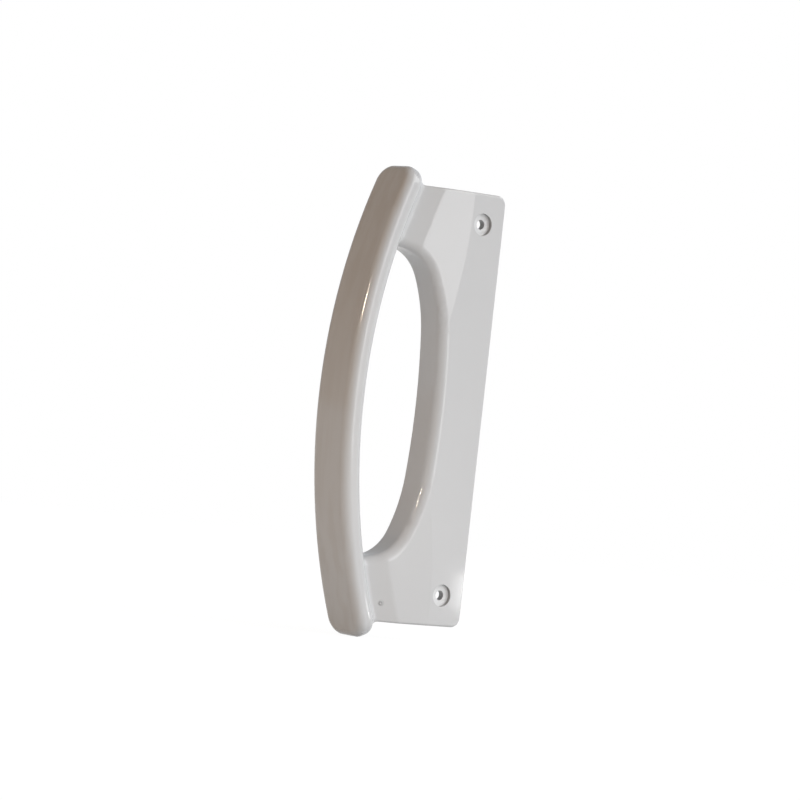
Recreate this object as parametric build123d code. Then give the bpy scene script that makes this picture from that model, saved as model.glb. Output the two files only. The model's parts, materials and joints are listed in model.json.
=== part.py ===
from build123d import *
import os
from math import asin, atan2, cos, degrees, hypot, radians, sin, sqrt, tan

os.makedirs("parts", exist_ok=True)

# Driving sizes in mm and degrees. X runs from the bow to the flange's free edge, Z runs up
# along the handle, and Y = 0 is the flange's seat on the door, with the seen side at -Y.

# Flange and its two screw seats
SCREW_SPACING = 168.0
SCREW_HOLE_D = 4.4
SEAT_D = 10.0
SEAT_DEPTH = 1.8
FLANGE_T = 5.0
FLANGE_HALF = 98.0
FREE_EDGE_X = 12.0
FREE_CORNER_R = 4.5
RIM_R = 1.0

# Rib beside the finger window, standing in front of the door
RIB_BACK = 10.5
SHOULDER_X = -5.0

# Finger window, a D whose long side bends in three arcs
WINDOW_SIDE_X = -14.8
WINDOW_HALF = 69.5
SIDE_TURN = 5.5
SHOULDER_TURN = 20.0
SIDE_SHARE = 0.47
SHOULDER_SHARE = 0.83
WINDOW_R = 4.5

# Bow
BOW_OUTER_X = -61.8
BOW_R = 272.0
BOW_T = 9.8
BOW_W = 26.2
BOW_HALF = 105.7
BOW_SET_BACK = 2.0
BOW_EDGE_R = 4.0
BOW_TIP_R = 8.5

# Necks: two slopes that fall back from the flange's front to the bow, short of the bow's tips
NECK_DROP = 7.7
NECK_START_X = -6.3
NECK_START_RUN = 20.0
NECK_START_BEND = 2.2
NECK_SLOPE = 4.5
THROAT_W = 12.8
THROAT_SLOPE = 18.0
THROAT_R = 10.0
NECK_BLEND_R = 2.5

# Cores in the hidden side, with the ribs that cross them
WALL = 2.6
CORE_RIB_T = 2.0
CORE_RIB_SHARES = (-0.45, 0.45)
CORE_FLOOR = 3.8

# Heights at which a neck's front is drawn, as shares of its reach
NECK_SHARES = (0.2, 0.6, 1.05)

# Derived places
front = -FLANGE_T
bow_front = front + BOW_SET_BACK
bow_back = bow_front + BOW_W
bow_middle_y = (bow_front + bow_back) / 2
bow_axis_x = BOW_OUTER_X + BOW_R
bow_axis = Axis((bow_axis_x, 0, 0), (0, 1, 0))
bow_inner_r = BOW_R - BOW_T
bow_edge_r = min(BOW_EDGE_R, 0.45 * BOW_T)
beyond_bow_x = BOW_OUTER_X - BOW_T
neck_half = BOW_HALF - NECK_DROP
neck_reach = max(FLANGE_HALF, neck_half)

# Room by which cutting shapes, and backs that are cut off later, reach past the part
spare = 4 * RIM_R
rough_back = RIB_BACK + spare


def slab(sketch, y_front, y_back):
    """Sketch in X and Z made solid between two depths."""
    return extrude(Plane.XZ.offset(-y_back) * sketch, amount=y_back - y_front)


def bow_disc(radius):
    """Disc about the bow's centre."""
    return Pos(bow_axis_x, 0) * Circle(radius)


def bow_inner_x(z):
    """X of the bow's inner face at a height."""
    return bow_axis_x - sqrt(bow_inner_r ** 2 - z ** 2)


def span(x_from, x_to, half):
    """Rectangle between two X places, the same above and below the middle."""
    return Pos((x_from + x_to) / 2, 0) * Rectangle(x_to - x_from, 2 * half)


def plate_outline():
    """Outline of the flange and necks, whose ends lead to the same drop from the bow's tips."""
    rise = (neck_half - FLANGE_HALF) / (FREE_EDGE_X - bow_inner_x(neck_half))
    end_z = FLANGE_HALF + rise * (FREE_EDGE_X - beyond_bow_x)
    corners = Polyline(
        (FREE_EDGE_X, FLANGE_HALF),
        (beyond_bow_x, end_z),
        (beyond_bow_x, -end_z),
        (FREE_EDGE_X, -FLANGE_HALF),
        close=True,
    )
    outline = make_face(corners)
    return fillet(outline.vertices().group_by(Axis.X)[-1], FREE_CORNER_R)


def neck_section(z):
    """Section of the space in front of a neck at a height: a gentle slope, then a steeper throat."""
    share = min(1, abs(z) / FLANGE_HALF)
    start_x = NECK_START_X - NECK_START_RUN * (1 - share) ** NECK_START_BEND
    fall = tan(radians(NECK_SLOPE))
    slope_end_x = bow_inner_x(z) + THROAT_W
    lead = 2 * spare
    slope_start = (start_x + lead, front - lead * fall)
    slope = Line(slope_start, (slope_end_x, front + (start_x - slope_end_x) * fall))
    turn = JernArc(slope @ 1, slope % 1, THROAT_R, NECK_SLOPE - THROAT_SLOPE)
    throat_run = THROAT_W + BOW_T
    throat = Line(turn @ 1, turn @ 1 + Vector(-throat_run, throat_run * tan(radians(THROAT_SLOPE))))
    ahead = front - 2 * spare
    lid = Polyline(throat @ 1, ((throat @ 1).X, ahead), ((slope @ 0).X, ahead), slope @ 0)
    return Plane.XY.offset(z) * make_face([slope, turn, throat, lid])


def window_outline():
    """D of the finger window, open at the bow, from a side arc, two shoulders and two corners."""
    side_z = SIDE_SHARE * WINDOW_HALF
    shoulder_z = SHOULDER_SHARE * WINDOW_HALF
    side_turn = radians(SIDE_TURN)
    full_turn = radians(SIDE_TURN + SHOULDER_TURN)
    side_r = side_z / sin(side_turn)
    shoulder_r = (shoulder_z - side_z) / (sin(full_turn) - sin(side_turn))
    corner_r = (WINDOW_HALF - shoulder_z) / (1 - sin(full_turn))
    side_x = WINDOW_SIDE_X - side_r * (1 - cos(side_turn))
    side = ThreePointArc((side_x, -side_z), (WINDOW_SIDE_X, 0), (side_x, side_z))
    shoulder = JernArc(side @ 1, (-sin(side_turn), cos(side_turn)), shoulder_r, SHOULDER_TURN)
    corner = JernArc(shoulder @ 1, shoulder % 1, corner_r, 90 - SIDE_TURN - SHOULDER_TURN)
    upper = [shoulder, corner]
    lower = [mirror(arc, Plane.XZ) for arc in upper]
    end_x = (corner @ 1).X
    sills = Polyline(
        (end_x, WINDOW_HALF),
        (beyond_bow_x, WINDOW_HALF),
        (beyond_bow_x, -WINDOW_HALF),
        (end_x, -WINDOW_HALF),
    )
    return make_face([side, sills] + upper + lower)


def make_body():
    """Flange, rib and necks with the finger window, rounded in front and left too deep behind."""
    body = slab(plate_outline() & bow_disc(bow_inner_r + BOW_T * 0.4), front, rough_back)

    # Room for the door behind the flange
    door = span(SHOULDER_X, FREE_EDGE_X + spare, neck_reach + spare)
    body -= slab(door, 0, rough_back + spare)

    # Fronts of the two necks, each run out in the finger window
    for up in (1, -1):
        body -= loft([neck_section(up * share * neck_reach) for share in NECK_SHARES])

    # Finger window, with a wide rounding in front
    window = slab(window_outline(), front - spare, rough_back + spare)
    uncut = body
    body = uncut - window
    body = fillet(new_edges(uncut, window, combined=body).sort_by(Axis.Y)[:1], WINDOW_R)

    # Rim round the front from the free edge on, and a round back for the blend to run along
    free_side = body.faces().sort_by(Axis.X)[-1]
    body = fillet(free_side.edges().sort_by(Axis.Y)[:1], RIM_R)
    return fillet([edge for edge in body.edges() if is_rough_back(edge)], spare / 2)


def is_rough_back(edge):
    """True for the edges of the rough back, but not for those inside the bow."""
    middle = edge.center()
    inside_bow = hypot(middle.X - bow_axis_x, middle.Z) > bow_inner_r + BOW_T * 0.3
    return abs(middle.Y - rough_back) < 0.01 and not inside_bow


def make_bow():
    """Bent bar of a rounded section, turned about its own centre, with a straight tongue at each end."""
    section = Pos(BOW_OUTER_X + BOW_T / 2, bow_middle_y) * RectangleRounded(BOW_T, BOW_W, bow_edge_r)
    reach = BOW_R - bow_edge_r
    tip = BOW_TIP_R - bow_edge_r
    end_turn = degrees(asin((BOW_HALF - bow_edge_r) / hypot(reach, tip)) - atan2(tip, reach))
    bow = revolve(section.rotate(bow_axis, -end_turn), bow_axis, 2 * end_turn)
    upper = make_tongue()
    return bow + upper.rotate(bow_axis, end_turn) + mirror(upper, Plane.XY).rotate(bow_axis, -end_turn)


def make_tongue():
    """Upper end of the bow, still upright: a plate with two round corners and rounded edges."""
    sheet = Pos(bow_middle_y, 0) * Rectangle(BOW_W, 2 * BOW_TIP_R)
    sheet = fillet(sheet.vertices().group_by(Axis.Y)[-1], BOW_TIP_R)
    plate = extrude(Plane.YZ.offset(BOW_OUTER_X) * sheet, amount=BOW_T)
    outer, inner = plate.faces().filter_by(Axis.X).sort_by(Axis.X)
    edges = outer.edges().sort_by(Axis.Z)[1:] + inner.edges().sort_by(Axis.Z)[1:]
    return split(fillet(edges, bow_edge_r), Plane.XY, keep=Keep.TOP)


def make_cores():
    """Pockets in the back of the rib and necks, between the crossing ribs."""
    room = offset(plate_outline(), -WALL) & bow_disc(bow_inner_r - NECK_BLEND_R)
    room = room & span(beyond_bow_x, SHOULDER_X - WALL, neck_reach)
    room -= offset(window_outline(), WALL)
    for share in CORE_RIB_SHARES:
        room -= Pos(bow_axis_x, share * FLANGE_HALF) * Rectangle(2 * BOW_R, CORE_RIB_T)
    return slab(room, CORE_FLOOR, rough_back)


def screw_seat():
    """Space of one screw: its hole and its flat seat."""
    hole_r = SCREW_HOLE_D / 2
    seat_r = SEAT_D / 2
    floor = front + SEAT_DEPTH
    profile = Polyline(
        (0, spare),
        (hole_r, spare),
        (hole_r, floor),
        (seat_r, floor),
        (seat_r, front - spare),
        (0, front - spare),
        close=True,
    )
    return revolve(make_face(profile), Axis.Y)


# Body and bow blended into one, then cut flat behind the rib with the whole bow put back
body = make_body()
bow = make_bow()
blended = body + bow
blended = fillet(new_edges(body, bow, combined=blended), NECK_BLEND_R)
parting = Plane.XZ.offset(-RIB_BACK)
handle = split(blended, parting, keep=Keep.TOP) + split(bow, parting, keep=Keep.BOTTOM)

handle -= make_cores()
for up in (1, -1):
    handle -= Pos(0, 0, up * SCREW_SPACING / 2) * screw_seat()

export_step(handle, "parts/door_handle.step")
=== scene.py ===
"""White moulded bow handle of a fridge door, upright on a pale floor in soft studio light."""

import json
import math

import bpy
from mathutils import Matrix, Vector
from mathutils.bvhtree import BVHTree


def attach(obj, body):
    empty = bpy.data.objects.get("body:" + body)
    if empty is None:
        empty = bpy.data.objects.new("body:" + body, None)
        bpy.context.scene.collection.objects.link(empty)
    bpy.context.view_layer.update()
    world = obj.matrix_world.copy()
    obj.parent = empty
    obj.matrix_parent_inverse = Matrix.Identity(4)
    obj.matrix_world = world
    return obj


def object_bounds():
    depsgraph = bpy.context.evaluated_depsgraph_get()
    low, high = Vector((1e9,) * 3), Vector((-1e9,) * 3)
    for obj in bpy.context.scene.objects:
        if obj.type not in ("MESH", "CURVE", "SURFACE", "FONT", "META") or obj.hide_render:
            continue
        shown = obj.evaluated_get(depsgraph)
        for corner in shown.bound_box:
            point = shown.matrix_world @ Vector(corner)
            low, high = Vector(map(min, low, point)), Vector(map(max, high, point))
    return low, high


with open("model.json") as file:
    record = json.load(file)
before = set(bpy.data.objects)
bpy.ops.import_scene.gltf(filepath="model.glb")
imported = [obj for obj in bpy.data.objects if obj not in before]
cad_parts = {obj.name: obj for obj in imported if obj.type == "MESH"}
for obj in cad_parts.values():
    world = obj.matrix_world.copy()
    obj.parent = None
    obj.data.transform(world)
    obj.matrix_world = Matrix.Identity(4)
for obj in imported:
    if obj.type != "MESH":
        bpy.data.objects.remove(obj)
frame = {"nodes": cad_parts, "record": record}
cad_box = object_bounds()

HANDLE = "door_handle"

# Camera, in metres and degrees: turned to the left of the front, level, and leaning
CAMERA_TURN = -37.0
CAMERA_LEAN = 6.34
CAMERA_DISTANCE = 1.738
CAMERA_AIM = Vector((-0.0227, 0.0121, 0.0015))
CAMERA_LENS = 173.7
CAMERA_RANGE = 50.0

# Places on the handle, in metres in its own frame, and the scale that takes the depth off a place
SCREWS = frame["record"]["mounts"][0]["dims"]
SCREW_HEIGHT = SCREWS["spacing_y_mm"] / 2000
HOLE_R = SCREWS["hole_r_mm"] / 1000
FRONT_Y = cad_box[0].y
SEAT_R = 0.005
SEAT_DEPTH = 0.0018
SEAT_FLOOR_Y = FRONT_Y + SEAT_DEPTH
BOW_R = 0.272
BOW_CENTRE = (cad_box[0].x + BOW_R, 0.0, 0.0)
NO_DEPTH = (1, 0, 1)

# Gate mark on the lower neck, in metres, and its section as shares of its radius and its rise
MARK_X = -0.0310
MARK_Z = -0.0895
MARK_R = 0.0011
MARK_RISE = 0.00028
MARK_SECTION = [(1.0, -0.25), (0.97, 0.2), (0.86, 0.65), (0.68, 0.95), (0.52, 1.0), (0.36, 0.8), (0.2, 0.4)]
MARK_SIDES = 32

# Shading: seams are closed within this reach, in metres, and edges past this angle, in degrees, stay sharp
SEAM_REACH = 0.000002
SHARP_ANGLE = 32.0
EVEN_WEIGHT = 50

# Where each finish, each painted shade and each painted light starts and ends: depths and heights in metres,
# rings in shares of their radius
SEAT_MOUTH = (0.0001, 0.0006)
SEAT_TURN = 0.0004
SEAT_WALL_START = (0.985, 0.998)
SEAT_WALL_END = (1.01, 1.05)
SEAT_FLOOR_END = (0.97, 0.985)
BORE_END = (1.02, 1.12)
# The gate mark's spot of painted shade fades out between these shares of its radius
MARK_SHADE_END = (0.5, 1.7)
BOW_DEPTHS = (0.0095, 0.006)
OUTER_DEPTHS = (0.004, 0.001)
GRIP_END = (0.03, 0.085)

# Colours of the plastic, and how much of each shows at most
CLEAN_LOW = (0.664, 0.668, 0.672, 1)
CLEAN_HIGH = (0.694, 0.696, 0.698, 1)
STREAK_COLOUR = (0.610, 0.590, 0.570, 1)
STREAK_SHARE = 0.55
HANDLED_COLOUR = (0.680, 0.662, 0.640, 1)
HANDLED_SHARE = 0.30
# Painted light: the paler colour of the seat floors, set against the shade that the seats' walls cast
PAINTED_LIGHT_COLOUR = (0.820, 0.822, 0.825, 1)
# Painted shade: the dark colour on the seat walls and bores and on and round the gate mark, and how much of
# it shows
PAINTED_SHADE_COLOUR = (0.300, 0.300, 0.305, 1)
SEAT_SHADE_SHARE = 0.75
MARK_SHADE_SHARE = 0.45

# Noise in the plastic: waves a metre and detail, and how the waves are drawn out along the handle
CLOUDS = (28.0, 3.0)
FLOW = (190.0, 2.0)
FLOW_DRAW = (1.0, 1.0, 0.10)
FLOW_RANGE = (0.32, 0.68)
SKIN = (900.0, 2.0)
SKIN_HEIGHT = 0.0000007
SINK = (60.0, 1.0)
SINK_DRAW = (1.0, 1.0, 0.5)
SINK_HEIGHT = 0.00003
RUBS = (700.0, 3.0)
RUBS_DRAW = (1.0, 1.0, 0.06)

# Roughness of the clean plastic, and what clouds, rubs and painted shade add to it
CLEAN_ROUGH = 0.075
CLOUDS_ROUGH = 0.02
RUBS_ROUGH = 0.02
PAINTED_SHADE_ROUGH = 0.3
PLASTIC_IOR = 1.5

# Floor, in metres: its shade fades into white from the first distance to the second
FLOOR_SIDE = 8.0
SHADE_FADE = (0.3, 1.2)
FLOOR_GREY = (0.42, 0.42, 0.42, 1)
GLOW_NEAR = (1.27, 1.27, 1.27, 1)
GLOW_FAR = (1, 1, 1, 1)
WHITE_NEAR = 0.75

# Colours of the lamps
WHITE = (1.0, 1.0, 1.0)
COOL_WHITE = (0.985, 0.99, 1.0)
BLUE_WHITE = (0.97, 0.98, 1.0)
WARM_WHITE = (1.0, 0.95, 0.90)
AMBER = (1.0, 0.85, 0.66)

# Room: its colours, and the parts of a look across or up, from -1 to 1, where one passes into the next
ROOM_LEFT = (0.40, 0.41, 0.43, 1)
ROOM_RIGHT = (0.68, 0.71, 0.75, 1)
ROOM_SIDES = (-0.8, 0.7)
ROOM_TOP = (0.15, 0.155, 0.16, 1)
ROOM_TOP_RISE = (0.15, 0.75)
BROWN_DARK = (0.37, 0.225, 0.11, 1)
BROWN_LIGHT = (0.55, 0.36, 0.20, 1)
BROWN_EDGE = (-0.85, -0.25)
FOLDS = (4.0, 1.0)
FOLDS_DRAW = (1.0, 1.0, 0.12)
FOLDS_RANGE = (0.3, 0.7)
COOL_HAZE = (0.95, 0.95, 0.95, 1)
COOL_HAZE_SHARE = 0.4
COOL_HAZE_RISE = (0.0, 0.065)
BROWN_HAZE = (0.86, 0.74, 0.64, 1)
BROWN_HAZE_SHARE = 0.85
BROWN_HAZE_RISE = (0.0, 0.40)


class Wire:
    """An output of a shader tree. Operators add Math nodes, and node() adds any other node."""

    def __init__(self, tree, socket=None):
        self.tree = tree
        self.socket = socket

    def node(self, kind, settings, sockets, output=None):
        """Adds a node, first its settings, then its sockets' values or links, and gives back one output."""
        made = self.tree.nodes.new("ShaderNode" + kind)
        for name, value in settings.items():
            setattr(made, name, value)
        inputs = {socket.identifier: socket for socket in made.inputs}
        for name, value in sockets.items():
            if isinstance(value, Wire):
                self.tree.links.new(value.socket, inputs[name])
            else:
                inputs[name].default_value = value
        outputs = {socket.identifier: socket for socket in made.outputs}
        return Wire(self.tree, outputs.get(output))

    def maths(self, operation, *values):
        """Adds a Math node."""
        names = ("Value", "Value_001", "Value_002")
        return self.node("Math", {"operation": operation}, dict(zip(names, values)), "Value")

    def __add__(self, other):
        return self.maths("ADD", self, other)

    __radd__ = __add__

    def __sub__(self, other):
        return self.maths("SUBTRACT", self, other)

    def __rsub__(self, other):
        return self.maths("SUBTRACT", other, self)

    def __mul__(self, other):
        return self.maths("MULTIPLY", self, other)

    __rmul__ = __mul__

    def __abs__(self):
        return self.maths("ABSOLUTE", self)

    def larger(self, other):
        """The larger of two values."""
        return self.maths("MAXIMUM", self, other)

    def ease(self, start, end):
        """0 before start, 1 after end, smooth between them."""
        sockets = {"Value": self, "From Min": start, "From Max": end}
        return self.node("MapRange", {"interpolation_type": "SMOOTHSTEP"}, sockets, "Result")

    def beyond(self, radius, shares):
        """0 inside a circle and 1 outside it, by this distance, smooth between two shares of its radius."""
        return self.ease(radius * shares[0], radius * shares[1])

    def parts(self):
        """The X, Y and Z values of a vector."""
        split = self.node("SeparateXYZ", {}, {"Vector": self}, "X")
        outputs = split.socket.node.outputs
        return [Wire(self.tree, outputs[axis]) for axis in "XYZ"]

    def scaled(self, scale):
        """A vector with its axes scaled one by one."""
        sockets = {"Vector": self, "Vector_001": scale}
        return self.node("VectorMath", {"operation": "MULTIPLY"}, sockets, "Vector")

    def unsigned(self):
        """A vector with its axes made positive."""
        return self.node("VectorMath", {"operation": "ABSOLUTE"}, {"Vector": self}, "Vector")

    def distance(self, point):
        """How far a vector is from a point."""
        sockets = {"Vector": self, "Vector_001": point}
        return self.node("VectorMath", {"operation": "DISTANCE"}, sockets, "Value")

    def noise(self, scale, detail):
        """Soft noise at a vector, about 0 to 1, with scale in waves to each unit of the vector."""
        return self.node("TexNoise", {}, {"Vector": self, "Scale": scale, "Detail": detail}, "Fac")

    def blend(self, low, high):
        """A colour between two colours, by this value."""
        sockets = {"Factor_Float": self, "A_Color": low, "B_Color": high}
        return self.node("Mix", {"data_type": "RGBA"}, sockets, "Result_Color")


def new_tree(owner):
    """The emptied node tree of a material or a world."""
    owner.use_nodes = True
    owner.node_tree.nodes.clear()
    return Wire(owner.node_tree)


def seen_directly(tree):
    """1 for what the eye sees straight, in a reflection or through a clear thing, else 0."""
    straight = tree.node("LightPath", {}, {}, "Is Camera Ray")
    rays = straight.socket.node.outputs
    mirrored = Wire(tree.tree, rays["Is Glossy Ray"])
    through = Wire(tree.tree, rays["Is Transmission Ray"])
    return straight.larger(mirrored).larger(through)


def seat_masks(place):
    """1 on the walls of the screw seats and holes, where shade is painted, and 1 on the seats' floors, where
    light is painted.
    """
    depth = place.parts()[1]
    away = place.scaled(NO_DEPTH).unsigned().distance((0, 0, SCREW_HEIGHT))
    sunk = depth.ease(FRONT_Y + SEAT_MOUTH[0], FRONT_Y + SEAT_MOUTH[1])
    below = depth.ease(SEAT_FLOOR_Y, SEAT_FLOOR_Y + SEAT_TURN)
    seat = sunk * (1 - below)
    wall = seat * away.beyond(SEAT_R, SEAT_WALL_START) * (1 - away.beyond(SEAT_R, SEAT_WALL_END))
    bore = below * (1 - away.beyond(HOLE_R, BORE_END))
    floor = seat * (1 - away.beyond(SEAT_R, SEAT_FLOOR_END))
    return wall.larger(bore), floor


def bow_masks(place):
    """1 on the bow's outer face, and 1 where the hand holds the bow."""
    height = abs(place.parts()[2])
    reach = place.scaled(NO_DEPTH).distance(BOW_CENTRE)
    bow = reach.ease(BOW_R - BOW_DEPTHS[0], BOW_R - BOW_DEPTHS[1])
    outer = reach.ease(BOW_R - OUTER_DEPTHS[0], BOW_R - OUTER_DEPTHS[1])
    return outer, bow * (1 - height.ease(*GRIP_END))


def handle_plastic(mark):
    """Glossy white plastic with clouds and streaks, a handled bow, painted shade on its seat walls and gate
    mark, painted light on its seat floors and a faint moulded skin.
    """
    material = bpy.data.materials.new("handle_plastic")
    tree = new_tree(material)
    place = tree.node("TexCoord", {}, {}, "Object")
    outer, grip = bow_masks(place)
    # Painted shade on the seat walls and bores, and painted light on the seat floors
    seat_wall_shade, seat_floor_light = seat_masks(place)
    # Painted shade: a dark spot on and round the gate mark
    mark_shade_spot = 1 - place.distance(mark).beyond(MARK_R, MARK_SHADE_END)

    # Tone: clouds all over, and darker, warmer long streaks down the bow's outer face
    clouds = place.noise(*CLOUDS)
    flow = place.scaled(FLOW_DRAW).noise(*FLOW).ease(*FLOW_RANGE)
    clean = clouds.blend(CLEAN_LOW, CLEAN_HIGH)
    streaked = (flow * outer * STREAK_SHARE).blend(clean, STREAK_COLOUR)

    # Marks of use: warmer plastic where the hand holds. Painted light: paler seat floors. Painted shade:
    # dark seat walls, bores and a spot on and round the gate mark
    handled = (grip * HANDLED_SHARE).blend(streaked, HANDLED_COLOUR)
    with_painted_light = seat_floor_light.blend(handled, PAINTED_LIGHT_COLOUR)
    painted_shade = (seat_wall_shade * SEAT_SHADE_SHARE).larger(mark_shade_spot * MARK_SHADE_SHARE)
    colour = painted_shade.blend(with_painted_light, PAINTED_SHADE_COLOUR)

    # Skin of the mould, and slow waves where the walls sank
    waves = place.scaled(SINK_DRAW).noise(*SINK)
    height = place.noise(*SKIN) * SKIN_HEIGHT + waves * SINK_HEIGHT
    normal = tree.node("Bump", {}, {"Strength": 1.0, "Distance": 1.0, "Height": height}, "Normal")

    # Gloss, a little duller in fine streaks along the bow where the hand rubs it, and dull where shade is
    # painted
    rubs = place.scaled(RUBS_DRAW).noise(*RUBS)
    rough = CLEAN_ROUGH + clouds * CLOUDS_ROUGH + rubs * grip * RUBS_ROUGH + painted_shade * PAINTED_SHADE_ROUGH

    sockets = {"Base Color": colour, "Roughness": rough, "Normal": normal, "IOR": PLASTIC_IOR}
    shader = tree.node("BsdfPrincipled", {}, sockets, "BSDF")
    tree.node("OutputMaterial", {}, {"Surface": shader})
    return material


def floor_white():
    """Pale floor that the eye sees as white, with a soft part of its shade left round the handle."""
    material = bpy.data.materials.new("floor_white")
    tree = new_tree(material)
    far = tree.node("TexCoord", {}, {}, "Object").distance((0, 0, 0)).ease(*SHADE_FADE)
    shade = tree.node("BsdfDiffuse", {}, {"Color": FLOOR_GREY}, "BSDF")
    pale = far.blend(GLOW_NEAR, GLOW_FAR)
    glow = tree.node("Emission", {}, {"Color": pale, "Strength": 1.0}, "Emission")
    white = seen_directly(tree) * (WHITE_NEAR + far * (1 - WHITE_NEAR))
    mixed = tree.node("MixShader", {}, {"Fac": white, "Shader": shade, "Shader_001": glow}, "Shader")
    tree.node("OutputMaterial", {}, {"Surface": mixed})
    return material


def add_object(name, data):
    """New object that holds this data, put in the scene."""
    made = bpy.data.objects.new(name, data)
    bpy.context.scene.collection.objects.link(made)
    return made


def find_mark(mesh):
    """Place of the gate mark on the lower neck, and the way that the plastic faces there."""
    faces = [face.vertices for face in mesh.polygons]
    tree = BVHTree.FromPolygons([corner.co for corner in mesh.vertices], faces)
    ahead = Vector((MARK_X, FRONT_Y - MARK_R, MARK_Z))
    return tree.ray_cast(ahead, Vector((0, 1, 0)))[:2]


def make_gate_mark(place, facing, plastic):
    """Low round stub left where the melt came in, with a small crater in its top."""
    turn = facing.to_track_quat("Z", "Y").to_matrix()
    points = []
    for share, rise in MARK_SECTION:
        for side in range(MARK_SIDES):
            angle = math.tau * side / MARK_SIDES
            flat = Vector((math.cos(angle), math.sin(angle), 0)) * share * MARK_R
            points.append(place + turn @ (flat + Vector((0, 0, rise * MARK_RISE))))
    faces = []
    for low in range(0, len(points) - MARK_SIDES, MARK_SIDES):
        high = low + MARK_SIDES
        for side in range(MARK_SIDES):
            after = (side + 1) % MARK_SIDES
            faces.append((low + side, low + after, high + after, high + side))
    faces.append(tuple(range(len(points) - MARK_SIDES, len(points))))
    faces.append(tuple(reversed(range(MARK_SIDES))))
    mesh = bpy.data.meshes.new("gate_mark")
    mesh.from_pydata(points, [], faces)
    mesh.shade_smooth()
    mesh.materials.append(plastic)
    mark = add_object("gate_mark", mesh)
    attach(mark, "root")


def dress_handle():
    """The handle's plastic, even shading over its roundings, and its gate mark."""
    handle = frame["nodes"][HANDLE]
    place, facing = find_mark(handle.data)
    plastic = handle_plastic(place)
    handle.data.materials.clear()
    handle.data.materials.append(plastic)
    make_gate_mark(place, facing, plastic)
    weld = handle.modifiers.new("weld", "WELD")
    weld.merge_threshold = SEAM_REACH
    split = handle.modifiers.new("split", "EDGE_SPLIT")
    split.split_angle = math.radians(SHARP_ANGLE)
    even = handle.modifiers.new("even", "WEIGHTED_NORMAL")
    even.mode = "FACE_AREA"
    even.weight = EVEN_WEIGHT
    even.keep_sharp = True


def make_floor():
    """Pale floor under the handle."""
    half = FLOOR_SIDE / 2
    level = cad_box[0].z
    corners = [(-half, -half, level), (half, -half, level), (half, half, level), (-half, half, level)]
    mesh = bpy.data.meshes.new("floor")
    mesh.from_pydata(corners, [], [(0, 1, 2, 3)])
    mesh.materials.append(floor_white())
    floor = add_object("floor", mesh)


def direction(turn, rise):
    """Unit vector from the handle, turned to the right of its front and risen, in degrees."""
    turn, rise = math.radians(turn), math.radians(rise)
    flat = math.cos(rise)
    return Vector((math.sin(turn) * flat, -math.cos(turn) * flat, math.sin(rise)))


def looking_from(back):
    """Turn of a camera or lamp that looks against a direction, with its top up."""
    return back.to_track_quat("Z", "Y").to_matrix().to_4x4()


def soft_box(name, turn, rise, distance, size, level, colour, mirrored=True, matt=True):
    """Area lamp aimed at the handle. Level is the light it gives a white face turned to it.

    A lamp that isn't mirrored only fills, and one that isn't matt only glints.
    """
    lamp = bpy.data.lights.new(name, "AREA")
    lamp.shape = "RECTANGLE"
    lamp.size, lamp.size_y = size
    lamp.energy = level * (math.pi * distance) ** 2
    lamp.color = colour
    box = add_object(name, lamp)
    back = direction(turn, rise)
    box.matrix_world = Matrix.Translation(back * distance) @ looking_from(back)
    box.visible_camera = False
    box.visible_glossy = mirrored
    box.visible_diffuse = matt


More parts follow.
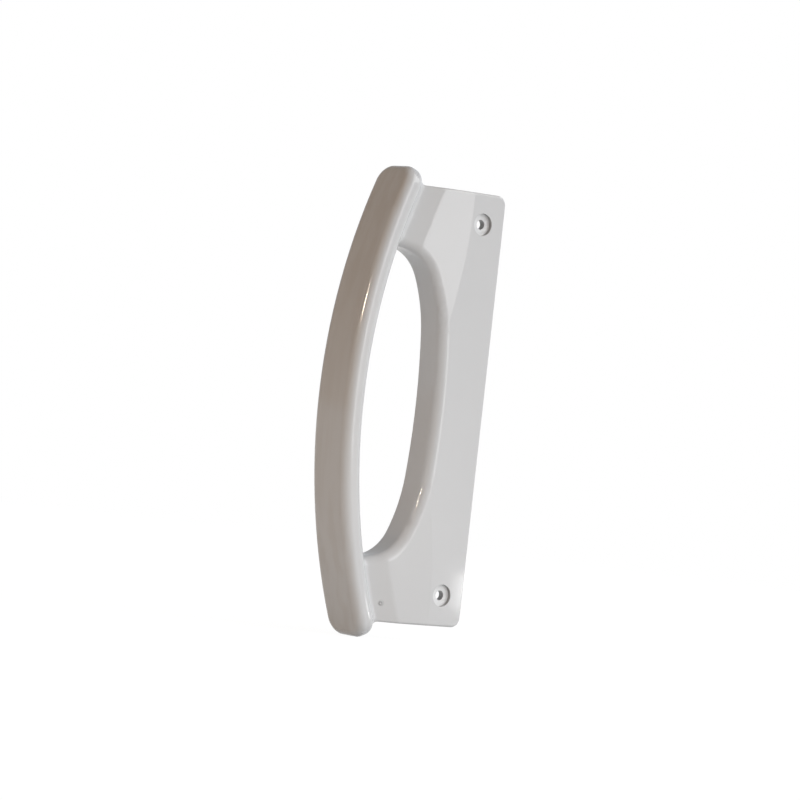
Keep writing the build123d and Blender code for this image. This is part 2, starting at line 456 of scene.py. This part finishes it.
def make_lights():
    """Soft key from above right, cards in front and at the side, fills and a narrow warm lamp."""
    soft_box("key", turn=47, rise=38, distance=1.6, size=(1.2, 1.0), level=0.385, colour=COOL_WHITE)
    soft_box("card", turn=21.5, rise=14, distance=1.6, size=(0.64, 1.0), level=0.19, colour=WHITE)
    soft_box("side", turn=95, rise=10, distance=1.6, size=(0.3, 1.4), level=0.03, colour=BLUE_WHITE)
    soft_box("low_card", turn=46, rise=-16.9, distance=0.33, size=(0.08, 0.02), level=0.045, colour=WHITE)

    # Fills in front, low at the front and left, and behind
    soft_box("front", turn=-15, rise=10, distance=1.6, size=(0.8, 0.8), level=0.08,
             colour=WHITE, mirrored=False)
    soft_box("front_fill", turn=-30, rise=-24, distance=0.22, size=(0.12, 0.03), level=0.115,
             colour=WHITE, mirrored=False)
    soft_box("left_fill", turn=-95, rise=-27, distance=0.21, size=(0.10, 0.03), level=0.02,
             colour=WARM_WHITE, mirrored=False)
    soft_box("back_fill", turn=155, rise=22, distance=1.6, size=(1.0, 1.0), level=0.17,
             colour=WHITE, mirrored=False)

    # Glints on the bow and on the window's rounding
    soft_box("lamp", turn=-82, rise=16.8, distance=1.9, size=(0.016, 0.17), level=0.28,
             colour=AMBER, matt=False)


def make_world():
    """Dim room round the handle, brown at its left side, and white where the eye looks past it."""
    world = bpy.data.worlds.new("room")
    bpy.context.scene.world = world
    tree = new_tree(world)
    look = tree.node("TexCoord", {}, {}, "Generated")
    axes = look.parts()
    across, up = axes[0], axes[2]

    # Cool sides under a dark top, and brown folds at the left, each with haze low down
    sides = across.ease(*ROOM_SIDES).blend(ROOM_LEFT, ROOM_RIGHT)
    cool = up.ease(*ROOM_TOP_RISE).blend(sides, ROOM_TOP)
    folds = look.scaled(FOLDS_DRAW).noise(*FOLDS).ease(*FOLDS_RANGE)
    brown = folds.blend(BROWN_DARK, BROWN_LIGHT)
    pale_cool = ((1 - up.ease(*COOL_HAZE_RISE)) * COOL_HAZE_SHARE).blend(cool, COOL_HAZE)
    pale_brown = ((1 - up.ease(*BROWN_HAZE_RISE)) * BROWN_HAZE_SHARE).blend(brown, BROWN_HAZE)
    room = (1 - across.ease(*BROWN_EDGE)).blend(pale_cool, pale_brown)

    dim = tree.node("Background", {}, {"Color": room, "Strength": 1.0}, "Background")
    white = tree.node("Background", {}, {"Color": (1, 1, 1, 1), "Strength": 1.0}, "Background")
    eye = tree.node("LightPath", {}, {}, "Is Camera Ray")
    mixed = tree.node("MixShader", {}, {"Fac": eye, "Shader": dim, "Shader_001": white}, "Shader")
    tree.node("OutputWorld", {}, {"Surface": mixed})


def make_camera():
    """Camera level with the handle, to its left, leaning a little."""
    data = bpy.data.cameras.new("camera")
    data.lens = CAMERA_LENS
    data.clip_end = CAMERA_RANGE
    camera = add_object("camera", data)
    back = direction(CAMERA_TURN, 0)
    lean = Matrix.Rotation(math.radians(CAMERA_LEAN), 4, "Z")
    camera.matrix_world = Matrix.Translation(CAMERA_AIM + back * CAMERA_DISTANCE) @ looking_from(back) @ lean
    bpy.context.scene.camera = camera


bpy.context.scene.view_settings.view_transform = "Standard"
dress_handle()
make_floor()
make_lights()
make_world()
make_camera()
